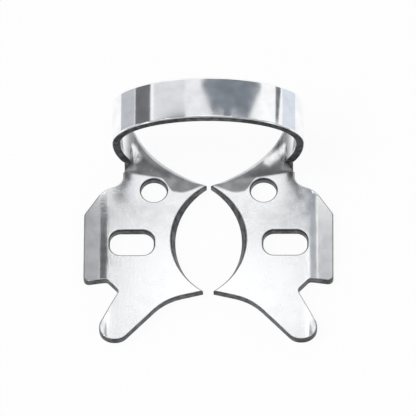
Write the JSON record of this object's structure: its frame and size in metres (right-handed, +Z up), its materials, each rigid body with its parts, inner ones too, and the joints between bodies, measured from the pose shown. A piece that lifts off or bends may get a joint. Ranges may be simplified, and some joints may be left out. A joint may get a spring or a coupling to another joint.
{
  "type": "rubber dam clamp",
  "caption": "Winged rubber dam clamp of one bent steel sheet: jaws grip a tooth under a spring bow.",
  "frame": {"origin": "middle of the clamp's length and width, on the surface that it stands on", "axes": "+X across the jaws, +Y from the lobes towards the bow, +Z up through the bow"},
  "size_m": [0.027, 0.026, 0.013],
  "materials": {
    "polished_steel": "polished stainless spring steel, satin on the jaw plates"
  },
  "bodies": {
    "root": {"clamp": "polished_steel"}
  },
  "joints": []
}
